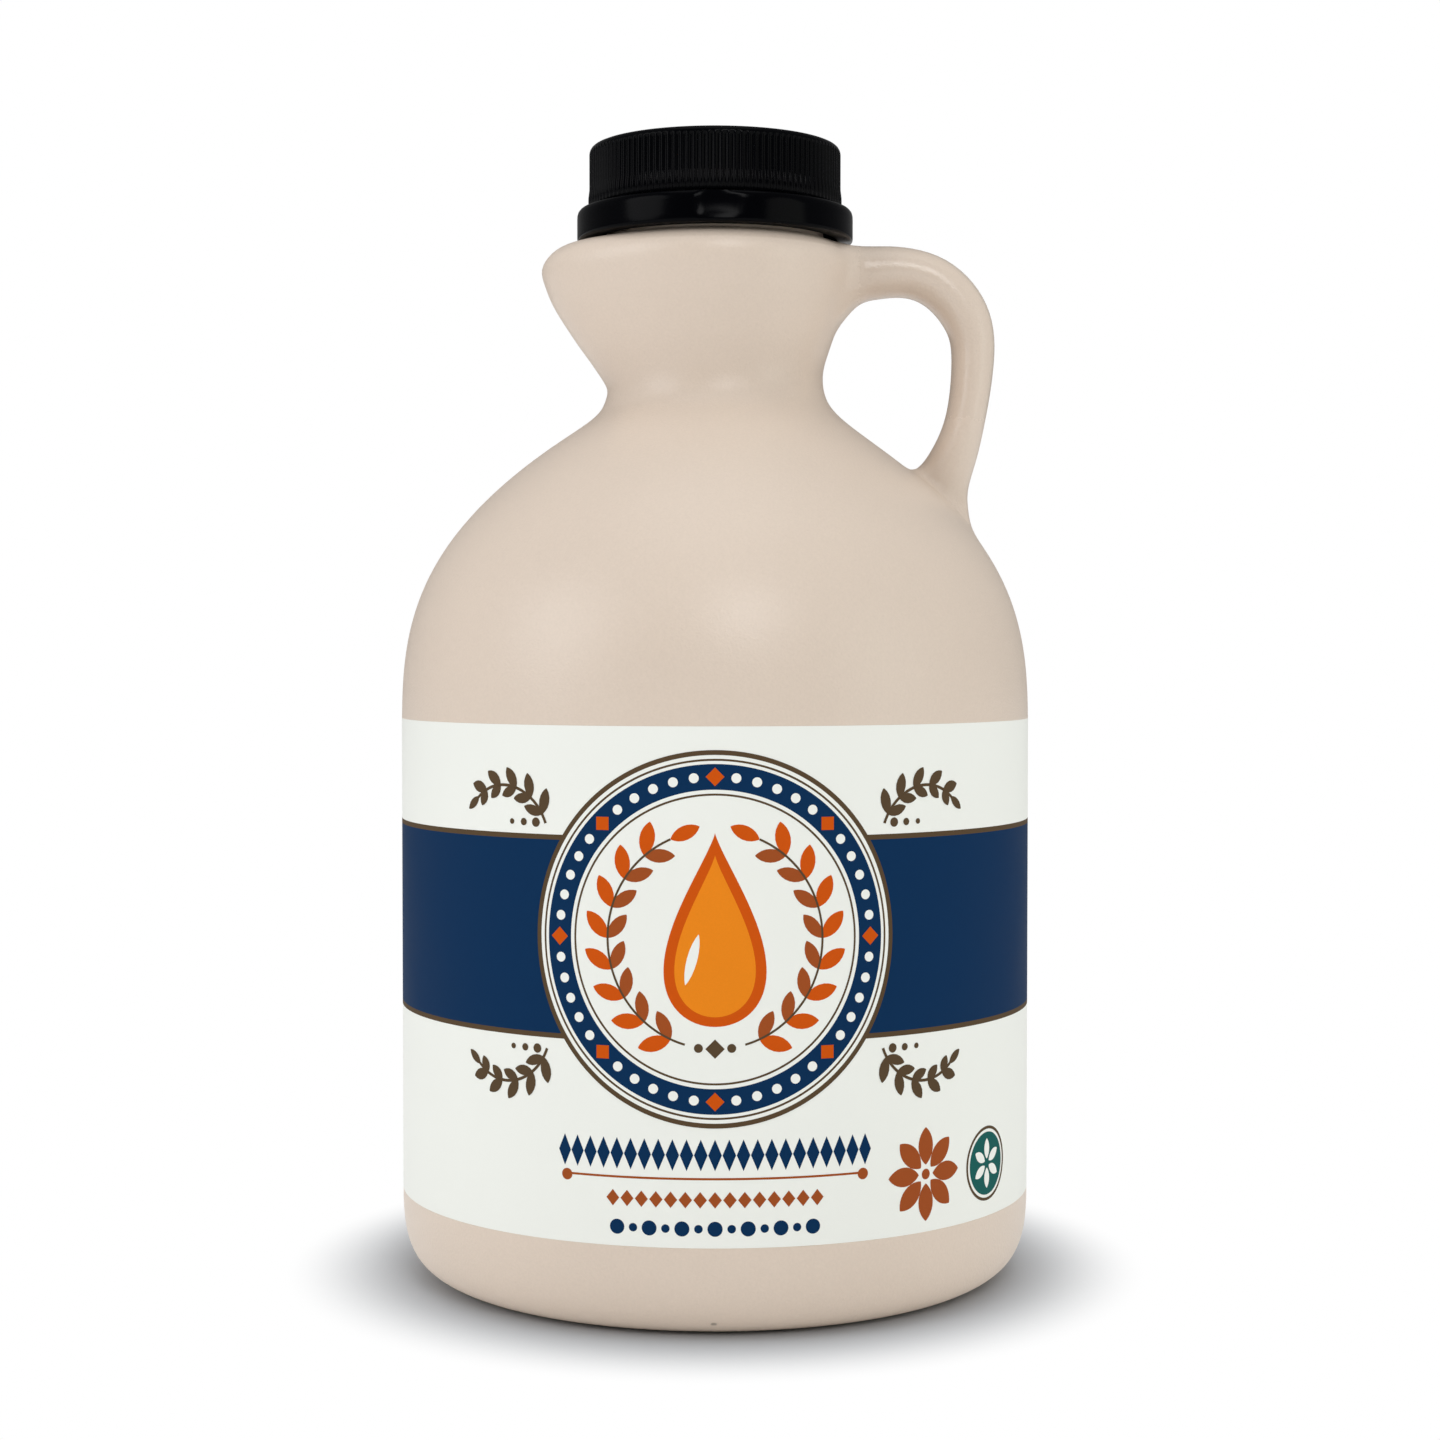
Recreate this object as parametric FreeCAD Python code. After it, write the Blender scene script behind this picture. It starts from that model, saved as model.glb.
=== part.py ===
"""A quart jug of maple syrup: a blow-moulded jug with a pinched spout and a ring handle, a screw cap with its
tamper band, and a wrap-round label. Millimetres, +Z up, origin at the middle of the base.
+X is the handle's side, -X the spout's side, and -Y the front of the label."""

import FreeCAD, Part

from math import cos, exp, pi, radians, sin
from os import makedirs

Vector = FreeCAD.Vector
Z_AXIS = Vector(0, 0, 1)

# Driving dimensions of the jug
WALL_RADIUS = 50.68          # the straight wall that carries the label
FOOT_RADIUS = 43.0           # where the rounded corner meets the table
WAIST_RADIUS, WAIST_HEIGHT = 17.5, 142.9
WAIST_LIFT = 0.6             # the waist stands this much higher under the handle, and lower under the spout
HEAD_RADIUS = 21.9           # the flared head, away from the spout
SPOUT_REACH = 27.95          # the spout's lip, from the axis
SPOUT_WIDTH = radians(36)    # how far round the head the spout's pinch spreads
DECK_HEIGHT = 166.1          # the top of the head, round the neck
NECK_RADIUS, NECK_TOP = 17.9, 179.6

# The underside: a standing ring round a shallow dome
RING_RADIUS, DOME_RISE = 38.5, 3.2
NOTCH_RADIUS, NOTCH_INSET = 1.6, 1.0

# The ring handle, in the plane of the spout
HANDLE_ROOT = (14.5, 160.2)  # the start of its centreline, inside the head: out from the axis, and up
HANDLE_BEND = (30.3, 150.15) # centre of the bend
HANDLE_BEND_RADIUS = 11.6
HANDLE_FOOT = (34.2, 119.0)  # the end of its centreline, inside the shoulder
HANDLE_BOW = 1.35            # how far its lower run bows outwards
HEAD_FILLET, SHOULDER_FILLET = 2.6, 1.6
HANDLE_WIDTH = 10.6          # from front to back
SECTION_POWER = 2.3          # 2 is an ellipse, and more is squarer

# The cap, its tamper band and the label
CAP_RADIUS, CAP_TOP, CAP_EDGE, CAP_BORE = 20.34, 181.6, 0.8, 18.3
CAP_RIBS, RIB_DEPTH = 120, 0.32
STEP_HEIGHT, STEP_OUT = 173.7, 0.18      # the skirt's foot stands out a little below this height
BAND_RADIUS, BAND_BORE, BAND_EDGE = 22.34, 19.7, 0.8
BAND_BOTTOM, BAND_TOP = 166.4, 171.4
BRIDGES, BRIDGE_WIDTH, BRIDGE_DEPTH, BRIDGE_HEIGHT = 12, 1.3, 0.7, 0.25
LABEL_BOTTOM, LABEL_TOP = 14.2, 89.6
LABEL_RADIUS, LABEL_THICKNESS, PANEL_RADIUS = 50.76, 0.25, 50.4  # the label lies in a shallow panel
LABEL_GAP = 1.0              # between the label's two ends, at the back

SKIN_COLUMNS = 40            # columns of control points round the jug

# The jug's outline from the foot to the neck, as (radius, height): away from the spout, and through its lip
LOWER_OUTLINE = [
    (FOOT_RADIUS, 0), (46.6, 1.6), (49.3, 4.9), (50.4, 9.5), (WALL_RADIUS, 15), (WALL_RADIUS, 28),
    (WALL_RADIUS, 46), (WALL_RADIUS, 64), (WALL_RADIUS, 80), (50.62, 90), (50.2, 98), (49.0, 105),
    (46.3, 112.4), (42.2, 118.7), (37.4, 124.1), (32.2, 128.8), (26.7, 132.9), (22.3, 136.0), (19.0, 139.1),
]
ROUND_OUTLINE = [
    (WAIST_RADIUS, WAIST_HEIGHT), (17.8, 146.6), (18.9, 150.5), (20.2, 154.6), (21.3, 158.4),
    (HEAD_RADIUS, 162.1), (21.4, 164.4), (20.1, 165.6), (NECK_RADIUS, DECK_HEIGHT),
]
SPOUT_OUTLINE = [
    (WAIST_RADIUS, 142.4), (19.2, 146.2), (21.8, 149.5), (24.5, 153.4), (26.9, 157.6),
    (SPOUT_REACH, 161.6), (27.1, 164.3), (24.5, 165.7), (NECK_RADIUS, DECK_HEIGHT),
]


def revolve(outline):
    """A solid turned about Z from a closed outline of (radius, height) points."""
    points = [Vector(r, 0, z) for r, z in outline]
    face = Part.Face(Part.makePolygon(points + points[:1]))
    return face.revolve(Vector(0, 0, 0), Z_AXIS, 360)


def ring(inner, outer, bottom, top):
    """A plain ring about Z."""
    return revolve([(inner, bottom), (outer, bottom), (outer, top), (inner, top)])


def column_outline(angle):
    """The jug's outline at an angle from the handle: the round head's, drawn out towards the spout's."""
    away = (angle % (2 * pi) - pi) / SPOUT_WIDTH
    pinch = exp(-away * away)
    head = [
        (a[0] + (b[0] - a[0]) * pinch, a[1] + (b[1] - a[1]) * pinch)
        for a, b in zip(ROUND_OUTLINE, SPOUT_OUTLINE)
    ]
    tilt = WAIST_LIFT * cos(angle)
    return [(r, z + tilt * exp(-((z - WAIST_HEIGHT) / 6) ** 2)) for r, z in LOWER_OUTLINE + head]


def outline_parameters():
    """One parameter for each outline point: the length of the round outline up to it."""
    outline = [Vector(r, 0, z) for r, z in LOWER_OUTLINE + ROUND_OUTLINE]
    lengths = [0.0]
    for before, after in zip(outline, outline[1:]):
        lengths.append(lengths[-1] + (after - before).Length)
    return lengths


def skin():
    """The jug's outside as one smooth face, closed round the axis."""
    step = 2 * pi / SKIN_COLUMNS
    spread = 3 / (2 + cos(step))  # a control point stands this much further out than the surface
    parameters = outline_parameters()
    columns = []
    for i in range(SKIN_COLUMNS):
        angle = pi / 2 + i * step  # the face's seam runs down the back
        out = Vector(cos(angle), sin(angle), 0)
        points = [out * (r * spread) + Z_AXIS * z for r, z in column_outline(angle)]
        curve = Part.BSplineCurve()
        curve.interpolate(Points=points, Parameters=parameters)
        columns.append(curve.getPoles())
    surface = Part.BSplineSurface()
    surface.buildFromPolesMultsKnots(
        columns, [1] * (SKIN_COLUMNS + 1), curve.getMultiplicities(), list(range(SKIN_COLUMNS + 1)),
        curve.getKnots(), True, False, 3, 3,
    )
    return surface.toShape()


def filled(face):
    """A solid from one face that is open at two flat ends."""
    ends = [edge for edge in face.Edges if edge.isClosed() and not edge.isSeam(face)]
    lids = [Part.Face(Part.Wire([edge])) for edge in ends]
    shell = Part.Shell([face] + lids)
    shell.sewShape()
    return Part.Solid(shell)


def handle_sections():
    """Points along the handle's centreline, each with its direction and half its thickness in the plane."""
    bend = Vector(HANDLE_BEND[0], 0, HANDLE_BEND[1])
    crown = bend + Vector(0, 0, HANDLE_BEND_RADIUS)
    root = Vector(HANDLE_ROOT[0], 0, HANDLE_ROOT[1])
    sections = []
    for share in (0, 0.3, 0.6):
        rise = (crown.z - root.z) * sin(pi / 2 * share)
        lean = Vector(crown.x - root.x, 0, (crown.z - root.z) * pi / 2 * cos(pi / 2 * share))
        centre = Vector(root.x + (crown.x - root.x) * share, 0, root.z + rise)
        sections.append((centre, lean.normalize(), 3.9 + 0.25 * share))
    bend_steps, bend_end = 8, radians(-8)
    for i in range(bend_steps + 1):
        turn = pi / 2 + (bend_end - pi / 2) * i / bend_steps
        out = Vector(cos(turn), 0, sin(turn))
        thin = 0.5 * (i / bend_steps) ** 2
        sections.append((bend + out * HANDLE_BEND_RADIUS, Vector(sin(turn), 0, -cos(turn)), 4.1 - thin))
    bend_foot = sections[-1][0]
    down = Vector(HANDLE_FOOT[0], 0, HANDLE_FOOT[1]) - bend_foot
    lower_steps = 6
    for i in range(1, lower_steps + 1):
        share = i / lower_steps
        bow = Vector(HANDLE_BOW * sin(pi * share), 0, 0)
        lean = Vector(down.x + HANDLE_BOW * pi * cos(pi * share), 0, down.z)
        half = 3.6 - 0.3 * sin(pi * share) + 0.9 * share ** 2
        sections.append((bend_foot + down * share + bow, lean.normalize(), half))
    return sections


def handle():
    """The ring handle, with both ends run inside the jug."""
    wires = []
    for centre, along, half in handle_sections():
        across = along.cross(Vector(0, 1, 0))
        points = []
        for i in range(16):
            c, s = cos(i * pi / 8), sin(i * pi / 8)
            size = (abs(c) ** SECTION_POWER + abs(s) ** SECTION_POWER) ** (-1 / SECTION_POWER)
            points.append(centre + across * (half * c * size) + Vector(0, HANDLE_WIDTH / 2 * s * size, 0))
        curve = Part.BSplineCurve()
        curve.interpolate(Points=points, PeriodicFlag=True)
        wires.append(Part.Wire([curve.toShape()]))
    return Part.makeLoft(wires, True, False)


def hollow_below():
    """The shallow dome pushed up inside the standing ring."""
    outline = [(0, -1), (RING_RADIUS, -1), (RING_RADIUS, 0), (RING_RADIUS - 2.5, 1.6), (RING_RADIUS - 7, 2.5)]
    return revolve(outline + [(0, DOME_RISE)])


def notch():
    """The slot moulded in the front of the foot, by which a labelling machine turns the jug to face it."""
    start = Vector(0, -FOOT_RADIUS - 5.2, -0.4)
    return Part.makeCylinder(NOTCH_RADIUS, 8, start, Vector(0, 1, 0))


def roots(shape, first, second):
    """The edges of a shape that lie on both of two other shapes."""
    found = []
    for edge in shape.Edges:
        middle = Part.Vertex(edge.valueAt((edge.FirstParameter + edge.LastParameter) / 2))
        if first.distToShape(middle)[0] < 0.01 and second.distToShape(middle)[0] < 0.01:
            found.append(edge)
    return found


def jug():
    """The blow-moulded jug, shut by its cap and so solid, with its neck inside the cap."""
    outside, ring_handle = skin(), handle()
    body = filled(outside).fuse(ring_handle)
    edges = roots(body, outside, ring_handle)
    body = body.makeFillet(HEAD_FILLET, [edge for edge in edges if edge.BoundBox.ZMin > WAIST_HEIGHT])
    edges = roots(body, outside, ring_handle)
    body = body.makeFillet(SHOULDER_FILLET, [edge for edge in edges if edge.BoundBox.ZMax < WAIST_HEIGHT])
    neck = Part.makeCylinder(NECK_RADIUS - 0.3, NECK_TOP - DECK_HEIGHT + 1, Vector(0, 0, DECK_HEIGHT - 1))
    panel = ring(PANEL_RADIUS, WALL_RADIUS + 5, LABEL_BOTTOM, LABEL_TOP)
    return body.fuse(neck).cut(panel).cut(hollow_below()).cut(notch())


def ribbed_outline(radius, depth, count):
    """A closed wire of fine rounded ribs round the axis."""
    points = []
    for i in range(2 * count):
        angle = pi * i / count
        r = radius - depth * (i % 2)
        points.append(Vector(r * cos(angle), r * sin(angle), 0))
    return Part.makePolygon(points + points[:1])


def cap():
    """The screw cap: a finely ribbed skirt with a stepped foot and a smooth, rounded rim, hollow over the neck."""
    foot, root = BAND_TOP + BRIDGE_HEIGHT, CAP_RADIUS - RIB_DEPTH
    core = revolve([
        (0, foot), (root, foot), (root, CAP_TOP - 1.4), (CAP_RADIUS - 0.12, CAP_TOP - 1.1),
        (CAP_RADIUS - 0.3, CAP_TOP - 0.5), (CAP_RADIUS - CAP_EDGE, CAP_TOP), (0, CAP_TOP),
    ])
    rib_face = Part.Face(ribbed_outline(CAP_RADIUS, RIB_DEPTH, CAP_RIBS))
    rib_face.translate(Vector(0, 0, foot))
    ribs = rib_face.extrude(Vector(0, 0, CAP_TOP - 1.2 - foot))
    low_face = Part.Face(ribbed_outline(CAP_RADIUS + STEP_OUT, RIB_DEPTH, CAP_RIBS))
    low_face.translate(Vector(0, 0, foot))
    low_ribs = low_face.extrude(Vector(0, 0, STEP_HEIGHT - foot))
    bore = Part.makeCylinder(CAP_BORE, NECK_TOP - foot + 1, Vector(0, 0, foot - 1))
    return core.fuse(ribs).fuse(low_ribs).cut(bore)


def tamper_band():
    """The ring left round the neck when the cap is first turned, and the thin bridges up to the cap."""
    band = revolve([
        (BAND_BORE, BAND_BOTTOM), (BAND_RADIUS - 0.3, BAND_BOTTOM), (BAND_RADIUS, BAND_BOTTOM + 0.3),
        (BAND_RADIUS, BAND_TOP - BAND_EDGE), (BAND_RADIUS - 0.24, BAND_TOP - 0.24),
        (BAND_RADIUS - BAND_EDGE, BAND_TOP), (BAND_BORE, BAND_TOP),
    ])
    corner = Vector(BAND_BORE, -BRIDGE_WIDTH / 2, BAND_TOP - 0.5)
    for i in range(BRIDGES):
        bridge = Part.makeBox(BRIDGE_DEPTH, BRIDGE_WIDTH, 0.5 + BRIDGE_HEIGHT, corner)
        bridge.rotate(Vector(0, 0, 0), Z_AXIS, 360 * (i + 0.5) / BRIDGES)
        band = band.fuse(bridge)
    return band


def label():
    """The paper label, wrapped round the wall with its ends nearly meeting at the back."""
    sleeve = ring(LABEL_RADIUS - LABEL_THICKNESS, LABEL_RADIUS, LABEL_BOTTOM, LABEL_TOP)
    gap = Part.makeBox(LABEL_GAP, 10, LABEL_TOP, Vector(-LABEL_GAP / 2, WALL_RADIUS - 5, 0))
    return sleeve.cut(gap)


def save(node, shape):
    shape.exportStep(f"parts/{node}.step")


if __name__ == "__main__":
    makedirs("parts", exist_ok=True)
    save("jug", jug())
    save("cap", cap())
    save("tamper_band", tamper_band())
    save("label", label())
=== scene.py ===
"""A quart jug of syrup: a tan moulded jug with a pinched spout and a ring handle, a black ribbed cap, its
tamper band and a wrap-round printed label.
Metres, +Z up; +X is the handle's side and -Y the front of the label."""

from math import asin, atan2, cos, exp, hypot, log1p, pi, radians, sin, sqrt

import bmesh
import bpy
from mathutils import Matrix, Vector


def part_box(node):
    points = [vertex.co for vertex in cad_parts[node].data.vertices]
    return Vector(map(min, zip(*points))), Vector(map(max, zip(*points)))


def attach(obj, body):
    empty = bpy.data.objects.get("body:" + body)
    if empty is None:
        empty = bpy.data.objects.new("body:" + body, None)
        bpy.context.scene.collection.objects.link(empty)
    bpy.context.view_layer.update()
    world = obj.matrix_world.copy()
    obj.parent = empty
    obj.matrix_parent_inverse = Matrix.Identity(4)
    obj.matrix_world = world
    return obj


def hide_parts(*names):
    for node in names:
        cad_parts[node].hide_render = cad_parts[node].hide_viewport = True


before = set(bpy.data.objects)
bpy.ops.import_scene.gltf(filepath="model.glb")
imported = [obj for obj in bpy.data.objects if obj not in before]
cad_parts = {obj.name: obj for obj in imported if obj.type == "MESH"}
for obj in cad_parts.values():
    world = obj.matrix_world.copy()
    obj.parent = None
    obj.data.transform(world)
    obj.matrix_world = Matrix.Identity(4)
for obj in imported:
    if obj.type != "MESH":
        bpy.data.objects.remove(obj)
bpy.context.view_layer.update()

bl_info = {
    "name": "Syrup Jug",
    "version": (1, 0, 0),
    "blender": (4, 5, 0),
    "location": "3D View > Sidebar > Syrup Jug",
    "description": "Builds a moulded syrup jug with its cap, tamper band and printed label",
    "category": "Add Mesh",
}

MM = 0.001
BODY = "root"

# Heights and radii of the frame's own pieces, in millimetres
LABEL_LOW, LABEL_HIGH = (corner[2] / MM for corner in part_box("label"))
BAND_LOW, BAND_HIGH = 166.4, 171.4
CAP_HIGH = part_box("cap")[1][2] / MM - 0.002


# ---------------------------------------------------------------- sizes and colours

def length(name, description, millimetres):
    """A length that a user may change, in metres."""
    return bpy.props.FloatProperty(
        name=name, description=description, default=millimetres * MM, unit="LENGTH", precision=5)


def colour(name, description, default):
    """A surface colour that a user may change."""
    return bpy.props.FloatVectorProperty(
        name=name, description=description, default=default, subtype="COLOR", size=3, min=0, max=1)


class JugSizes(bpy.types.PropertyGroup):
    """Sizes of the jug, its handle, its closure and its label"""
    wall_radius: length("Wall radius", "Radius of the straight wall above and below the label", 50.66)
    panel_radius: length("Panel radius", "Radius of the shallow panel under the label", 50.4)
    handle_width: length("Handle width", "Width of the ring handle from front to back", 10.7)
    handle_reach: length("Handle reach", "How far the middle of the handle's bend is from the axis", 30.3)
    handle_bend: length("Handle bend", "Radius of the handle's bend along its middle line", 11.6)
    cap_radius: length("Cap radius", "Radius of the cap over its ribs", 20.34)
    rib_depth: length("Rib depth", "Depth of the grooves between the cap's ribs", 0.24)
    band_radius: length("Band radius", "Outer radius of the tamper band", 22.32)
    label_radius: length("Label radius", "Outer radius of the label", 50.68)
    label_thickness: length("Label thickness", "Thickness of the label stock", 0.16)
    ink_thickness: length("Ink thickness", "Thickness of one printed layer", 0.012)


class JugColours(bpy.types.PropertyGroup):
    """Colours of the plastics, the label stock and its inks"""
    tan: colour("Tan", "Colour of the moulded jug", (0.690, 0.582, 0.488))
    black: colour("Black", "Colour of the cap and the band", (0.0011, 0.0012, 0.0018))
    paper: colour("Paper", "Colour of the label stock", (0.845, 0.862, 0.815))
    navy: colour("Navy", "Ink of the broad band", (0.0030, 0.0275, 0.0860))
    brown: colour("Brown", "Ink of the fine lines", (0.094, 0.060, 0.032))
    orange: colour("Orange", "Ink of the large ornaments", (0.590, 0.086, 0.0045))
    amber: colour("Amber", "Ink of the lit side of the large ornaments", (0.800, 0.235, 0.012))
    rust: colour("Rust", "Ink of the small ornaments", (0.330, 0.075, 0.018))
    green: colour("Green", "Ink of the small disc", (0.010, 0.105, 0.095))


def sizes():
    return bpy.context.scene.jug_sizes


def colours():
    return bpy.context.scene.jug_colours


# ---------------------------------------------------------------- shader groups and materials

def group_of(name, inputs, outputs):
    """An empty shader group with its sockets, given as (name, kind, default)."""
    tree = bpy.data.node_groups.new(name, "ShaderNodeTree")
    for socket, kind, default in inputs:
        made = tree.interface.new_socket(name=socket, in_out="INPUT", socket_type=kind)
        made.default_value = default
    for socket, kind in outputs:
        tree.interface.new_socket(name=socket, in_out="OUTPUT", socket_type=kind)
    start = tree.nodes.new("NodeGroupInput")
    end = tree.nodes.new("NodeGroupOutput")
    return tree, start, end


def node(tree, kind, **settings):
    """A node with its settings and, by socket name, its input values."""
    made = tree.nodes.new(kind)
    inputs = settings.pop("inputs", {})
    for key, value in settings.items():
        setattr(made, key, value)
    for key, value in inputs.items():
        made.inputs[key].default_value = value
    return made


def maths(tree, operation, first, second=None, clamp=False):
    """A maths node; each value is a number or a socket."""
    made = tree.nodes.new("ShaderNodeMath")
    made.operation = operation
    made.use_clamp = clamp
    for slot, value in enumerate((first, second)):
        if value is None:
            continue
        if isinstance(value, (int, float)):
            made.inputs[slot].default_value = value
        else:
            tree.links.new(value, made.inputs[slot])
    return made.outputs[0]


def moulded_grain():
    """Fine orange-peel grain over soft, slow unevenness: a height, and a mask that varies slowly."""
    found = bpy.data.node_groups.get("moulded grain")
    if found:
        return found
    tree, start, end = group_of(
        "moulded grain",
        [("Grain Size", "NodeSocketFloat", 0.5), ("Grain Depth", "NodeSocketFloat", 1.0),
         ("Sink Size", "NodeSocketFloat", 25.0), ("Sink Depth", "NodeSocketFloat", 1.0)],
        [("Height", "NodeSocketFloat"), ("Slow Mask", "NodeSocketFloat"), ("Fine Mask", "NodeSocketFloat")])
    place = node(tree, "ShaderNodeTexCoord")
    grain_scale = maths(tree, "DIVIDE", 1000.0, start.outputs["Grain Size"])
    sink_scale = maths(tree, "DIVIDE", 1000.0, start.outputs["Sink Size"])
    fine = node(tree, "ShaderNodeTexNoise", inputs={"Detail": 2.0, "Roughness": 0.55})
    slow = node(tree, "ShaderNodeTexNoise", inputs={"Detail": 1.5, "Roughness": 0.4})
    for texture, scale in ((fine, grain_scale), (slow, sink_scale)):
        tree.links.new(place.outputs["Object"], texture.inputs["Vector"])
        tree.links.new(scale, texture.inputs["Scale"])
    fine_height = maths(tree, "MULTIPLY", fine.outputs["Fac"], start.outputs["Grain Depth"])
    slow_height = maths(tree, "MULTIPLY", slow.outputs["Fac"], start.outputs["Sink Depth"])
    tree.links.new(maths(tree, "ADD", fine_height, slow_height), end.inputs["Height"])
    tree.links.new(slow.outputs["Fac"], end.inputs["Slow Mask"])
    tree.links.new(fine.outputs["Fac"], end.inputs["Fine Mask"])
    return tree


def uneven_tint():
    """A colour that drifts a little lighter and darker by a mask."""
    found = bpy.data.node_groups.get("uneven tint")
    if found:
        return found
    tree, start, end = group_of(
        "uneven tint",
        [("Colour", "NodeSocketColor", (1, 1, 1, 1)), ("Mask", "NodeSocketFloat", 0.5),
         ("Amount", "NodeSocketFloat", 0.05)],
        [("Colour", "NodeSocketColor")])
    centred = maths(tree, "SUBTRACT", start.outputs["Mask"], 0.5)
    swing = maths(tree, "MULTIPLY", centred, start.outputs["Amount"])
    value = maths(tree, "ADD", swing, 1.0)
    shift = node(tree, "ShaderNodeHueSaturation")
    tree.links.new(start.outputs["Colour"], shift.inputs["Color"])
    tree.links.new(value, shift.inputs["Value"])
    tree.links.new(shift.outputs["Color"], end.inputs["Colour"])
    return tree


def specks():
    """Sparse tiny specks, as a mask: 1 on a speck."""
    found = bpy.data.node_groups.get("specks")
    if found:
        return found
    tree, start, end = group_of(
        "specks",
        [("Spacing", "NodeSocketFloat", 6.0), ("Share", "NodeSocketFloat", 0.1),
         ("Size", "NodeSocketFloat", 0.03)],
        [("Mask", "NodeSocketFloat")])
    place = node(tree, "ShaderNodeTexCoord")
    cells = node(tree, "ShaderNodeTexVoronoi", inputs={"Randomness": 1.0})
    tree.links.new(place.outputs["Object"], cells.inputs["Vector"])
    tree.links.new(maths(tree, "DIVIDE", 1000.0, start.outputs["Spacing"]), cells.inputs["Scale"])
    split = node(tree, "ShaderNodeSeparateColor")
    tree.links.new(cells.outputs["Color"], split.inputs["Color"])
    near = maths(tree, "LESS_THAN", cells.outputs["Distance"], start.outputs["Size"])
    chosen = maths(tree, "LESS_THAN", split.outputs["Red"], start.outputs["Share"])
    tree.links.new(maths(tree, "MULTIPLY", near, chosen), end.inputs["Mask"])
    return tree


def mould_marks():
    """A fine parting line round the handle's plane, a nick in front of the foot, whose mask also serves to
    darken its dent as painted shade, and a mask of the handle, whose skin is finished glossier."""
    found = bpy.data.node_groups.get("mould marks")
    if found:
        return found
    tree, start, end = group_of(
        "mould marks",
        [("Line Width", "NodeSocketFloat", 0.3), ("Line Height", "NodeSocketFloat", 1.0),
         ("Nick Size", "NodeSocketFloat", 0.5), ("Nick Depth", "NodeSocketFloat", 1.0)],
        [("Height", "NodeSocketFloat"), ("Nick", "NodeSocketFloat"), ("Grip", "NodeSocketFloat")])
    place = node(tree, "ShaderNodeTexCoord")
    axes = node(tree, "ShaderNodeSeparateXYZ")
    tree.links.new(place.outputs["Object"], axes.inputs["Vector"])
    aside = maths(tree, "ABSOLUTE", axes.outputs["Y"])
    across = maths(tree, "DIVIDE", aside, maths(tree, "MULTIPLY", start.outputs["Line Width"], MM))
    line = node(tree, "ShaderNodeMapRange", interpolation_type="SMOOTHSTEP", inputs={
        "From Min": 0.0, "From Max": 1.0, "To Min": 1.0, "To Max": 0.0})
    tree.links.new(across, line.inputs["Value"])
    reach = node(tree, "ShaderNodeVectorMath", operation="DISTANCE")
    reach.inputs[1].default_value = Vector(NICK) * MM
    tree.links.new(place.outputs["Object"], reach.inputs[0])
    nick_size = maths(tree, "MULTIPLY", start.outputs["Nick Size"], MM)
    share = maths(tree, "DIVIDE", reach.outputs["Value"], nick_size)
    nick = node(tree, "ShaderNodeMapRange", interpolation_type="SMOOTHSTEP", inputs={
        "From Min": 0.35, "From Max": 1.0, "To Min": 1.0, "To Max": 0.0})
    tree.links.new(share, nick.inputs["Value"])
    raised = maths(tree, "MULTIPLY", line.outputs["Result"], start.outputs["Line Height"])
    sunk = maths(tree, "MULTIPLY", nick.outputs["Result"], start.outputs["Nick Depth"])
    tree.links.new(maths(tree, "SUBTRACT", raised, sunk), end.inputs["Height"])
    tree.links.new(nick.outputs["Result"], end.inputs["Nick"])
    grip = []
    for axis, (low, high) in zip("XZ", GRIP):
        share = node(tree, "ShaderNodeMapRange", interpolation_type="SMOOTHSTEP", inputs={
            "From Min": low * MM, "From Max": high * MM, "To Min": 0.0, "To Max": 1.0})
        tree.links.new(axes.outputs[axis], share.inputs["Value"])
        grip.append(share.outputs["Result"])
    tree.links.new(maths(tree, "MULTIPLY", *grip), end.inputs["Grip"])
    return tree


def placed(tree, group, **inputs):
    """A shader group placed in a material, with its own values."""
    made = tree.nodes.new("ShaderNodeGroup")
    made.node_tree = group
    for key, value in inputs.items():
        made.inputs[key.replace("_", " ").title()].default_value = value
    return made


PAINTED_CREASE_SHADE = (0.62, 0.56, 0.50)         # painted shade: share of each colour left in the deepest crease


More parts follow.
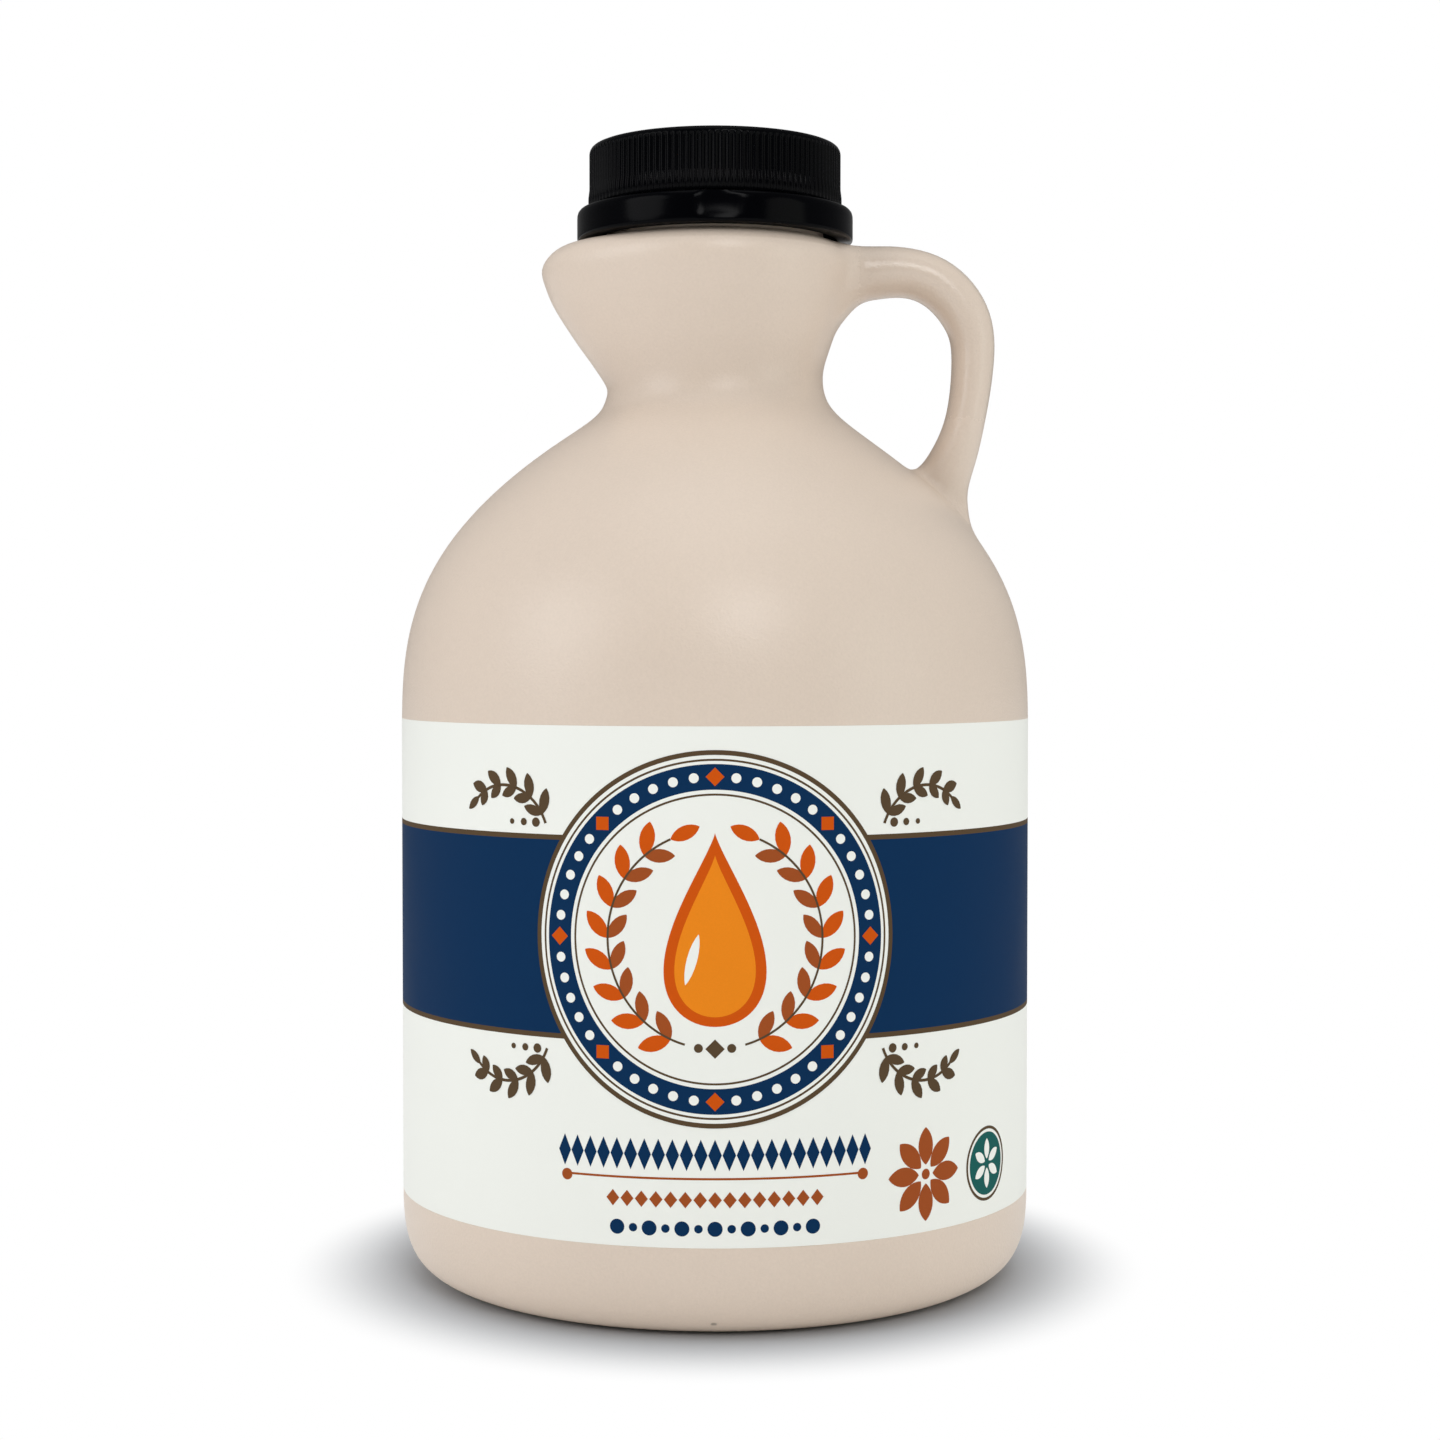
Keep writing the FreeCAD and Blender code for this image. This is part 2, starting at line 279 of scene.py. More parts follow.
def finish(name, base, tint, roughness, roughness_swing, grain, bump, speck=None, marks=None, polish=0.0,
           painted_crease_shade=None, **shader):
    """A material: a drifting colour, uneven roughness and a fine relief, with painted shade in a nick's dent
    and in creases where asked.
    grain is (grain size, grain depth, sink size, sink depth); bump is the relief's height in metres."""
    made = bpy.data.materials.new(name)
    made.use_nodes = True
    made.diffuse_color = (*base, 1)
    tree = made.node_tree
    surface = tree.nodes["Principled BSDF"]
    for key, value in shader.items():
        surface.inputs[key.replace("_", " ")].default_value = value
    relief = placed(tree, moulded_grain(), grain_size=grain[0], grain_depth=grain[1], sink_size=grain[2],
                    sink_depth=grain[3])
    drift = placed(tree, uneven_tint(), amount=tint)
    drift.inputs["Colour"].default_value = (*base, 1)
    fine = maths(tree, "MULTIPLY", maths(tree, "SUBTRACT", relief.outputs["Fine Mask"], 0.5), 1.6)
    tree.links.new(maths(tree, "ADD", relief.outputs["Slow Mask"], fine), drift.inputs["Mask"])
    colour_out = drift.outputs["Colour"]
    if speck:
        spots = placed(tree, specks(), spacing=speck[0], share=speck[1], size=speck[2])
        mix = node(tree, "ShaderNodeMix", data_type="RGBA")
        mix.inputs["B"].default_value = (*speck[3], 1)
        tree.links.new(spots.outputs["Mask"], mix.inputs["Factor"])
        tree.links.new(colour_out, mix.inputs["A"])
        colour_out = mix.outputs["Result"]
    height = relief.outputs["Height"]
    matt = roughness
    if marks:
        marks_and_nick_shade = placed(tree, mould_marks(), **marks)
        height = maths(tree, "ADD", height, marks_and_nick_shade.outputs["Height"])
        # painted shade: the nick's dent is darkened towards half the colour
        dark = node(tree, "ShaderNodeMix", data_type="RGBA")
        dark.inputs["B"].default_value = (*(0.5 * part for part in base), 1)
        tree.links.new(marks_and_nick_shade.outputs["Nick"], dark.inputs["Factor"])
        tree.links.new(colour_out, dark.inputs["A"])
        colour_out = dark.outputs["Result"]
        matt = maths(tree, "SUBTRACT", roughness, maths(tree, "MULTIPLY", marks_and_nick_shade.outputs["Grip"], polish))
    if painted_crease_shade:
        # painted shade: creases found by ambient occlusion are darkened in the colour, so they read deeper
        shut = node(tree, "ShaderNodeAmbientOcclusion", samples=6, only_local=True, inputs={
            "Distance": painted_crease_shade[0] * MM})
        closed = maths(tree, "SUBTRACT", 1.0, shut.outputs["AO"])
        depth = maths(tree, "MULTIPLY", closed, painted_crease_shade[1], clamp=True)
        painted_crease_mix = node(tree, "ShaderNodeMix", data_type="RGBA")
        painted_crease_mix.inputs["B"].default_value = (*(part * share for part, share in zip(base, PAINTED_CREASE_SHADE)), 1)
        tree.links.new(depth, painted_crease_mix.inputs["Factor"])
        tree.links.new(colour_out, painted_crease_mix.inputs["A"])
        colour_out = painted_crease_mix.outputs["Result"]
    tree.links.new(colour_out, surface.inputs["Base Color"])
    both = maths(tree, "ADD", relief.outputs["Slow Mask"], relief.outputs["Fine Mask"])
    centred = maths(tree, "SUBTRACT", both, 1.0)
    swing = maths(tree, "MULTIPLY", centred, roughness_swing)
    tree.links.new(maths(tree, "ADD", swing, matt), surface.inputs["Roughness"])
    raised = node(tree, "ShaderNodeBump", inputs={"Strength": 1.0, "Distance": bump})
    tree.links.new(height, raised.inputs["Height"])
    tree.links.new(raised.outputs["Normal"], surface.inputs["Normal"])
    return made


# ---------------------------------------------------------------- making and keeping meshes

def keep(bm, name, material, nodes=(), sharp=radians(38)):
    """Turn a finished bmesh into a piece that rides on the jug; corners above the sharp angle stay crisp."""
    mesh = bpy.data.meshes.new(name)
    for face in bm.faces:
        face.smooth = True
    for edge in bm.edges:
        edge.smooth = edge.calc_face_angle(0) < sharp
    bm.to_mesh(mesh)
    bm.free()
    piece = bpy.data.objects.new(name, mesh)
    mesh.materials.append(material)
    bpy.context.scene.collection.objects.link(piece)
    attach(piece, BODY)
    if nodes:
        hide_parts(*nodes)
    return piece


def subdivided(piece, level):
    """Smooth a piece's cage, and keep the smoothed mesh as the piece's own, so its box is the true one."""
    skin = piece.modifiers.new("Smooth Skin", "SUBSURF")
    skin.levels = skin.render_levels = level
    smoothed = bpy.data.meshes.new_from_object(piece.evaluated_get(bpy.context.evaluated_depsgraph_get()))
    smoothed.name = piece.data.name
    piece.modifiers.clear()
    piece.data = smoothed


def turned(bm, outline, steps):
    """Spin an outline of (radius, height) in millimetres about Z, as one closed skin."""
    verts = [bm.verts.new((r * MM, 0, z * MM)) for r, z in outline]
    edges = [bm.edges.new(pair) for pair in zip(verts, verts[1:])]
    bmesh.ops.spin(
        bm, geom=verts + edges, cent=(0, 0, 0), axis=(0, 0, 1), dvec=(0, 0, 0), angle=2 * pi, steps=steps,
        use_merge=True)
    bmesh.ops.remove_doubles(bm, verts=bm.verts, dist=1e-6)
    bmesh.ops.recalc_face_normals(bm, faces=bm.faces)


# ---------------------------------------------------------------- the jug

COLUMNS = 40                 # columns of the jug's cage, nine degrees apart
HEAD_WINDOW = (151.9, 166.2, radians(18))    # where the handle joins: lowest, highest and half angle
FOOT_WINDOW = (118.9, 130.05, radians(9))
FOOT_OUTLINE = [
    (0, 3.2), (12, 3.1), (24, 2.8), (31, 2.4), (35.5, 1.7), (38.0, 0.55), (39.6, 0.055), (41.6, 0.03),
    (43.6, 0.27), (46.2, 1.35), (48.5, 3.4), (49.9, 6.3), (50.5, 9.6), (50.66, 12.4),
]
# The shoulder is a dome that eases into the waist
DOME_START, DOME_HEIGHT = 86.8, 63.0     # where its curve begins, and how far above that it would close
DOME_EARLY, DOME_LATE = 2.9, 0.82        # how late it leaves the wall, and how straight it then falls
WAIST_RADIUS, WAIST_EASE = 17.4, 2.3     # the waist, and how softly the dome runs into it
# The head as (radius, height) away from the spout, and the same through the spout's lip
HEAD_OUTLINE = [
    ((17.6, 145.3), (18.55, 145.2)), ((18.15, 147.6), (20.25, 147.5)), ((18.9, 150.0), (22.15, 149.95)),
    ((19.7, 152.6), (24.0, 152.6)), ((20.45, 155.2), (25.6, 155.1)), ((21.05, 157.4), (26.75, 157.3)),
    ((21.5, 159.7), (27.6, 159.6)), ((21.9, 162.1), (28.05, 162.0)), ((21.45, 164.3), (26.6, 164.3)),
    ((20.1, 165.6), (24.0, 165.75)), ((18.9, 166.1), (20.2, 166.3)), ((17.9, 166.3), (17.9, 166.5)),
]
NECK_OUTLINE = [(17.6, 167.2), (17.6, 170.0), (17.6, 178.6), (17.2, 179.3), (15.0, 179.45), (0, 179.45)]
SPOUT_SPREAD = radians(36)
WAIST_LIFT = 0.6             # the waist stands this much higher under the handle, and lower under the spout


NICK = (-0.2, -47.5, 2.4)    # a small nick the mould left in front of the foot, its dent darkened in colour as painted shade
GRIP = ((21.0, 26.0), (134.0, 142.0))    # how far out, and how high, the handle's glossier skin begins


def evenly(low, high, steps):
    """Heights from low to high, without low itself."""
    return [low + (high - low) * i / steps for i in range(1, steps + 1)]


# Rows of the cage up the shoulder: closer together where the handle's foot joins
SHOULDER_ROWS = (
    [91.6, 93.6, 97.0] + evenly(97.0, 116.3, 5) + [119.7, 122.3, 123.6] + evenly(123.6, 130.6, 6)
    + evenly(130.6, 143.3, 7))


def shoulder_radius(wall, height):
    """Radius of the shoulder at a height, in millimetres."""
    share = (height - DOME_START) / DOME_HEIGHT
    dome = wall * (1 - share ** DOME_EARLY) ** (1 / DOME_LATE)
    return WAIST_RADIUS + WAIST_EASE * log1p(exp((dome - WAIST_RADIUS) / WAIST_EASE))


def jug_outline(panel, wall):
    """The whole outline away from the spout, with the label's shallow panel cut in."""
    low, high = LABEL_LOW, LABEL_HIGH
    step = [(wall, low - 0.35), (wall - 0.02, low - 0.08), (panel + 0.02, low), (panel, low + 0.4)]
    climb = [low + (high - low) * i / 5 for i in range(1, 5)]
    upper = [(panel, high - 0.4), (panel + 0.02, high), (wall - 0.02, high + 0.08), (wall, high + 0.35)]
    middle = [(panel, z) for z in climb]
    head = [away for away, lip in HEAD_OUTLINE]
    shoulder = [(shoulder_radius(wall, height), height) for height in SHOULDER_ROWS]
    return FOOT_OUTLINE + step + middle + upper + shoulder + head + NECK_OUTLINE


def pinch_spout(bm):
    """Draw the round head out into its spout, and tilt the waist."""
    for vert in bm.verts:
        r, z = hypot(vert.co.x, vert.co.y) / MM, vert.co.z / MM
        if r < 1 or z < 128:
            continue
        angle = atan2(vert.co.y, vert.co.x)
        around = (angle % (2 * pi) - pi) / SPOUT_SPREAD
        pull = exp(-around * around)
        for away, lip in HEAD_OUTLINE:
            if abs(away[0] - r) < 0.002 and abs(away[1] - z) < 0.002:
                r, z = r + (lip[0] - r) * pull, z + (lip[1] - z) * pull
        tilt = exp(-((z - 142.5) / 6.0) ** 2)
        z += WAIST_LIFT * cos(angle) * tilt
        vert.co = Vector((cos(angle) * r, sin(angle) * r, z)) * MM


def tighten(bm, rounds=3):
    """Move the cage out so that its smoothed surface passes through where its corners were."""
    wanted = {vert: vert.co.copy() for vert in bm.verts}
    for _ in range(rounds):
        moved = {}
        for vert in bm.verts:
            if len(vert.link_edges) != 4 or wanted[vert].z > 166.9 * MM:
                moved[vert] = vert.co
                continue
            beside = sum((edge.other_vert(vert).co for edge in vert.link_edges), Vector())
            corners = set()
            for face in vert.link_faces:
                corners.update(face.verts)
            corners -= {vert} | {edge.other_vert(vert) for edge in vert.link_edges}
            across = sum((corner.co for corner in corners), Vector())
            limit = (vert.co * 16 + beside * 4 + across) / 36
            moved[vert] = vert.co + (wanted[vert] - limit)
        for vert, place in moved.items():
            vert.co = place


def opened(bm, low, high, half_angle):
    """Cut a window in the skin on the handle's side and give its rim of edges."""
    def inside(vert):
        angle = atan2(vert.co.y, vert.co.x)
        return low - 0.01 <= vert.co.z / MM <= high + 0.01 and abs(angle) <= half_angle + 0.01
    faces = [face for face in bm.faces if all(inside(vert) for vert in face.verts)]
    rim = {edge for face in faces for edge in face.edges
           if any(other not in faces for other in edge.link_faces)}
    bmesh.ops.delete(bm, geom=faces, context="FACES")
    return [edge for edge in rim if edge.is_valid]


def handle_path(reach, bend):
    """Sections along the handle: centre, direction and half thickness in its plane, in millimetres."""
    centre = Vector((reach, 0, 150.1))
    sections = [(Vector((23.3, 0, 161.42)), Vector((1, 0, 0.03)), 4.38),
                (Vector((26.4, 0, 161.66)), Vector((1, 0, 0.02)), 4.17)]
    bends = ((90, 0.2, 3.95), (68, 0.08, 4.02), (46, -0.15, 4.03), (24, -0.12, 3.93), (4, 0.1, 3.52))
    for degrees, swell, half in bends:
        turn = radians(degrees)
        out = Vector((cos(turn), 0, sin(turn)))
        sections.append((centre + out * (bend + swell), Vector((sin(turn), 0, -cos(turn))), half))
    for x, z, half in ((41.85, 146.2, 3.33), (41.37, 141.6, 3.17), (40.6, 137.4, 3.13), (39.53, 133.6, 3.43)):
        sections.append((Vector((x, 0, z)), None, half))
    sections.append((Vector((38.02, 0, 130.2)), Vector((-0.30, 0, -0.95)), 3.87))
    sections.append((Vector((36.87, 0, 127.8)), Vector((-0.50, 0, -0.866)), 4.42))
    filled = []
    for i, (place, along, half) in enumerate(sections):
        if along is None:
            after = sections[i + 1][0] if i + 1 < len(sections) else place + Vector((-0.42, 0, -1))
            along = after - sections[i - 1][0]
        filled.append((place, along.normalized(), half))
    return filled


def next_ring(bm, verts, edges):
    """Extrude a closed ring; the new corners come in the old ones' order."""
    out = bmesh.ops.extrude_edge_only(bm, edges=edges)["geom"]
    fresh = {item for item in out if isinstance(item, bmesh.types.BMVert)}
    ring = [next(edge.other_vert(vert) for edge in vert.link_edges if edge.other_vert(vert) in fresh)
            for vert in verts]
    rim = [item for item in out if isinstance(item, bmesh.types.BMEdge) and fresh.issuperset(item.verts)]
    return ring, rim


RING = 20                    # corners round the handle's cage


def shape_ring(verts, place, along, half, half_width):
    """Set a ring of corners to one rounded section of the handle."""
    across = Vector((along.z, 0, -along.x)) * -1
    for i, vert in enumerate(verts):
        turn = 2 * pi * i / RING
        c, s = cos(turn), sin(turn)
        size = (abs(c) ** 2.15 + abs(s) ** 2.15) ** (-1 / 2.15)
        spot = place + across * (half * c * size) + Vector((0, half_width * s * size, 0))
        vert.co = spot * MM


def add_handle(bm, head_rim, shoulder_rim):
    """Extrude the ring handle along its path and bridge its ends to the two windows."""
    group = sizes()
    path = handle_path(group.handle_reach / MM, group.handle_bend / MM)
    half_width = group.handle_width / MM / 2
    grow = 1 / cos(pi / RING) * 1.012
    made = bmesh.ops.create_circle(bm, cap_ends=False, radius=MM, segments=RING)
    verts = made["verts"]
    first = list({edge for vert in verts for edge in vert.link_edges})
    edges = first
    for i, (place, along, half) in enumerate(path):
        if i:
            verts, edges = next_ring(bm, verts, edges)
        width = half_width * (1.05 if i == len(path) - 1 else 1.0)
        shape_ring(verts, place, along, half * grow, width * grow)
    bmesh.ops.bridge_loops(bm, edges=head_rim + first)
    bmesh.ops.bridge_loops(bm, edges=shoulder_rim + edges)


class JUG_OT_body(bpy.types.Operator):
    """Build the moulded jug with its spout and ring handle"""
    bl_idname = "jug.body"
    bl_label = "Moulded Jug"

    def execute(self, context):
        group = sizes()
        bm = bmesh.new()
        turned(bm, jug_outline(group.panel_radius / MM, group.wall_radius / MM), COLUMNS)
        pinch_spout(bm)
        tighten(bm)
        head_rim = opened(bm, *HEAD_WINDOW)
        shoulder_rim = opened(bm, *FOOT_WINDOW)
        add_handle(bm, head_rim, shoulder_rim)
        bmesh.ops.recalc_face_normals(bm, faces=bm.faces)
        piece = keep(bm, "moulded_jug", tan_plastic(), ("jug",))
        subdivided(piece, 2)
        return {"FINISHED"}


def tan_plastic():
    """Satin tan polyethylene with a very fine moulded grain and a few specks, with painted shade darkening
    its creases and its nick.
    """
    return finish(
        "tan plastic", tuple(colours().tan), 0.06, 0.33, 0.07, (0.40, 1.0, 26.0, 3.0), 0.000060,
        speck=(7.0, 0.06, 0.022, (0.42, 0.31, 0.22)),
        marks=dict(line_width=0.28, line_height=1.0, nick_size=0.6, nick_depth=3.0),
        polish=0.14, painted_crease_shade=(10.0, 1.5), Specular_IOR_Level=0.5)


# ---------------------------------------------------------------- the cap and its band

RIBS = 120
RIB_CORNERS = 8              # corners to each rib
SKIRT_RADIUS, SKIRT_TOP = 18.3, 179.6    # the hollow inside the cap's skirt
BAND_INNER = 19.9
BRIDGES = 12                 # bridges between the band and the cap


def black_plastic(name, roughness, swing, bump, level):
    return finish(
        name, tuple(colours().black), 0.25, roughness, swing, (0.30, 1.0, 8.0, 1.5), bump,
        Specular_IOR_Level=level)


class JUG_OT_cap(bpy.types.Operator):
    """Build the ribbed screw cap"""
    bl_idname = "jug.cap"
    bl_label = "Ribbed Cap"

    def execute(self, context):
        group = sizes()
        radius, depth = group.cap_radius / MM, group.rib_depth / MM
        low, high = BAND_HIGH + 0.27, CAP_HIGH
        # rows of (height, radius lost, share of the rib's depth)
        rows = [
            (low, -0.02, 0.9), (low + 0.12, -0.17, 1.0), (173.25, -0.17, 1.0), (173.5, -0.16, 1.0),
            (174.1, -0.09, 1.0), (174.7, -0.01, 1.0), (175.0, 0.0, 1.0), (180.2, 0.0, 1.0),
            (180.45, 0.0, 0.75), (180.62, 0.02, 0.25), (180.75, 0.05, 0.0), (181.0, 0.13, 0.0),
            (181.25, 0.29, 0.0),
            (181.45, 0.53, 0.0), (181.56, 0.8, 0.0), (high, 1.15, 0.0), (high, 1.8, 0.0), (181.5, 2.25, 0.0),
            (181.33, 2.6, 0.0), (181.3, 3.2, 0.0), (181.3, 10.0, 0.0),
        ]
        count = RIBS * RIB_CORNERS
        bm = bmesh.new()
        made = bmesh.ops.create_circle(bm, cap_ends=False, radius=1, segments=count)
        verts = made["verts"]
        edges = list({edge for vert in verts for edge in vert.link_edges})
        bottom = verts, edges
        for i, (height, lost, share) in enumerate(rows):
            if i:
                verts, edges = next_ring(bm, verts, edges)
            for k, vert in enumerate(verts):
                turn = 2 * pi * k / count
                # flat-topped ribs and flat-bottomed grooves, a quarter of the pitch each, with sloping flanks
                groove = min(1.0, max(0.0, 0.5 - 0.95 * cos(2 * pi * k / RIB_CORNERS)))
                r = radius - lost - depth * share * groove
                vert.co = Vector((r * cos(turn), r * sin(turn), height)) * MM
        bmesh.ops.contextual_create(bm, geom=edges)
        # the skirt's inside, up to the neck
        inner, inner_edges = next_ring(bm, *bottom)
        for vert in inner:
            flat = Vector((vert.co.x, vert.co.y, 0)).normalized() * SKIRT_RADIUS * MM
            vert.co = Vector((flat.x, flat.y, low * MM))
        top, top_edges = next_ring(bm, inner, inner_edges)
        for vert in top:
            vert.co.z = SKIRT_TOP * MM
        bmesh.ops.contextual_create(bm, geom=top_edges)
        bmesh.ops.recalc_face_normals(bm, faces=bm.faces)
        plastic = black_plastic("black cap plastic", 0.21, 0.05, 0.000004, 0.06)
        keep(bm, "ribbed_cap", plastic, ("cap",), radians(60))
        return {"FINISHED"}


class JUG_OT_band(bpy.types.Operator):
    """Build the tamper band with its bridges"""
    bl_idname = "jug.band"
    bl_label = "Tamper Band"

    def execute(self, context):
        outer = sizes().band_radius / MM
        low, high = BAND_LOW + 0.02, BAND_HIGH
        outline = [
            (BAND_INNER, low), (outer - 0.55, low), (outer - 0.22, low + 0.06), (outer - 0.05, low + 0.25),
            (outer, low + 0.6), (outer, low + 1.4), (outer, high - 1.5), (outer - 0.03, high - 0.9),
            (outer - 0.16, high - 0.45), (outer - 0.42, high - 0.14), (outer - 0.85, high - 0.01),
            (outer - 1.3, high), (BAND_INNER, high), (BAND_INNER, low),
        ]
        bm = bmesh.new()
        turned(bm, outline, 180)
        front = outer * cos(asin(4.4 / outer)) * MM
        for vert in bm.verts:
            if vert.co.y < -front and abs(vert.co.x - 1.5 * MM) < 4.6 * MM and vert.co.z > (low + 1.0) * MM:
                vert.co.y = -front
        for i in range(BRIDGES):
            turn = Matrix.Rotation(2 * pi * (i + 0.5) / BRIDGES, 4, "Z")
            size = Matrix.Diagonal((0.7 * MM, 1.3 * MM, 0.6 * MM, 1))
            place = Matrix.Translation(((BAND_INNER + 0.25) * MM, 0, (high + 0.05) * MM))
            bmesh.ops.create_cube(bm, size=1, matrix=turn @ place @ size)
        plastic = black_plastic("black band plastic", 0.17, 0.06, 0.000004, 0.045)
        keep(bm, "tamper_band_ring", plastic, ("tamper_band",))
        return {"FINISHED"}


# ---------------------------------------------------------------- the label and its print

LABEL_ROUND = 50.68          # radius that the label is rolled to
LABEL_SPAN = 2 * pi * LABEL_ROUND
SEAM = 1.0                   # left open between its ends, at the back


def flat(bm, verts, matrix):
    bmesh.ops.transform(bm, matrix=matrix, verts=verts)


def disc(bm, u, v, across, up=None, lean=0.0, corners=48, shape=None):
    """A filled round on the unrolled label at (u, v); shape may bend its outline of unit (x, y)."""
    made = bmesh.ops.create_circle(bm, cap_ends=True, radius=1, segments=corners)["verts"]
    if shape:
        for vert in made:
            vert.co.x, vert.co.y = shape(vert.co.x, vert.co.y)
    scale = Matrix.Diagonal((across, up if up is not None else across, 1, 1))
    flat(bm, made, Matrix.Translation((u, v, 0)) @ Matrix.Rotation(lean, 4, "Z") @ scale)
    return made


def loop(bm, u, v, outer, inner, corners=160, start=0.0, end=2 * pi):
    """A ring, or part of one, on the unrolled label."""
    turn = end - start
    verts = [bm.verts.new((u + r * cos(start), v + r * sin(start), 0)) for r in (inner, outer)]
    edge = bm.edges.new(verts)
    full = abs(turn - 2 * pi) < 1e-6
    bmesh.ops.spin(
        bm, geom=verts + [edge], cent=(u, v, 0), axis=(0, 0, 1), dvec=(0, 0, 0), angle=turn, steps=corners,
        use_merge=full)


def bar(bm, low_u, high_u, low_v, high_v):
    """A plain field of colour on the unrolled label."""
    made = bmesh.ops.create_grid(bm, x_segments=1, y_segments=1, size=0.5)["verts"]
    scale = Matrix.Diagonal((high_u - low_u, high_v - low_v, 1, 1))
    flat(bm, made, Matrix.Translation(((low_u + high_u) / 2, (low_v + high_v) / 2, 0)) @ scale)


def leaf_shape(x, y):
    """A unit round drawn in to a point at both ends along y."""
    return x * (1 - abs(y) ** 2.2) ** 0.35 if abs(y) < 1 else 0.0, y


def drop_shape(x, y):
    """A unit round drawn up to a point at its top."""
    from_top = abs(atan2(x, y))
    return x * sin(from_top / 2) ** 1.5 * 1.18, y


def petal(bm, u, v, long, wide, lean, corners=20):
    """A leaf-shaped petal from its root at (u, v), pointing along its lean from straight up."""
    middle_u, middle_v = u - sin(lean) * long / 2, v + cos(lean) * long / 2
    disc(bm, middle_u, middle_v, wide / 2, long / 2, lean, corners, leaf_shape)


def spray(bm, edge_u, edge_v, side, rise):
    """A leafy spray growing out of a corner; side and rise, each 1 or -1, say which way it grows."""
    reach = 8.2
    middle_u, middle_v = edge_u + side * 10.6, edge_v - rise * 1.2

    def aimed(angle):
        return atan2(-side * cos(angle), rise * sin(angle))

    def spot(angle):
        return middle_u + side * reach * cos(angle), middle_v + rise * reach * sin(angle)

    ends = sorted(atan2(rise * sin(angle), side * cos(angle)) % (2 * pi)
                  for angle in (radians(48), radians(160)))
    loop(bm, middle_u, middle_v, reach + 0.22, reach - 0.22, 40, *ends)
    for k in range(5):
        turn = radians(150 - 21.5 * k)
        u, v = spot(turn)
        petal(bm, u, v, 3.9 - 0.2 * k, 1.75, aimed(turn - pi / 2 + 0.72), 16)
        petal(bm, u, v, 3.4 - 0.2 * k, 1.55, aimed(turn - pi / 2 - 0.72), 16)
    petal(bm, *spot(radians(50)), 3.0, 1.3, aimed(radians(50) - pi / 2), 16)
    for k, size in enumerate((0.7, 0.55, 0.42)):
        disc(bm, edge_u + side * (4.6 + 2.2 * k), edge_v + rise * 1.7, size, corners=16)


def wrapped(bm, radius, step=1.5):
    """Cut the flat shapes every step and roll them round the jug, front face outwards."""
    lowest = min(vert.co.x for vert in bm.verts)
    highest = max(vert.co.x for vert in bm.verts)
    cut = (int(lowest / step)) * step
    while cut < highest:
        geom = bm.verts[:] + bm.edges[:] + bm.faces[:]
        bmesh.ops.bisect_plane(bm, geom=geom, dist=1e-5, plane_co=(cut, 0, 0), plane_no=(1, 0, 0))
        cut += step
    bmesh.ops.triangulate(bm, faces=[face for face in bm.faces if len(face.verts) > 4])
    for face in bm.faces:
        face.normal_update()
        if face.normal.z < 0:
            face.normal_flip()
    for vert in bm.verts:
        turn = vert.co.x / LABEL_ROUND - pi / 2
        vert.co = Vector((radius * cos(turn), radius * sin(turn), vert.co.y)) * MM
    # rolled this way, a face that looked up from the flat label looks out from the jug
    for face in bm.faces:
        face.normal_update()
        middle = face.calc_center_median()
        if face.normal.x * middle.x + face.normal.y * middle.y < 0:
            face.normal_flip()


def thicken(bm, thickness):
    """Give a rolled sheet its thickness, inwards."""
    bmesh.ops.solidify(bm, geom=bm.faces[:], thickness=thickness)
    bmesh.ops.recalc_face_normals(bm, faces=bm.faces)


def printed(bm, name, ink, layer):
    """Lay flat shapes on the label as one thin layer of ink."""
    thickness = sizes().ink_thickness
    wrapped(bm, sizes().label_radius / MM + thickness / MM * layer)
    thicken(bm, thickness * 0.8)
    return keep(bm, name, ink)


def ink(name, base, roughness=0.60, level=0.04):
    return finish(name, tuple(base), 0.06, roughness, 0.10, (0.22, 1.0, 12.0, 1.0), 0.000003,
                  Specular_IOR_Level=level)


def paper_finish(name):
    return finish(name, tuple(colours().paper), 0.02, 0.44, 0.12, (0.16, 1.0, 20.0, 2.5), 0.000005,
                  Specular_IOR_Level=0.35)


class JUG_OT_label(bpy.types.Operator):
    """Build the label stock, wrapped round the jug"""
    bl_idname = "jug.label"
    bl_label = "Label Stock"

    def execute(self, context):
        group = sizes()
        bm = bmesh.new()
        half = LABEL_SPAN / 2 - SEAM / 2
        bar(bm, -half, half, LABEL_LOW, LABEL_HIGH)
        wrapped(bm, group.label_radius / MM, 2.0)
        thicken(bm, group.label_thickness)
        keep(bm, "label_stock", paper_finish("label stock"), ("label",))
        return {"FINISHED"}


MID = 58.9                   # height of the roundel's middle
ROUND = 27.3                 # its outer radius
BAND = (44.6, 72.9)          # the broad navy band
BEAD_RING = 23.45            # radius of the ring of beads
LAUREL = 15.8                # radius of the laurel's stems
ROSETTE = (33.7, 22.8)       # middle of the large rosette beside the lower lines
TOKEN = (48.5, 22.3)         # middle of the round token beyond it


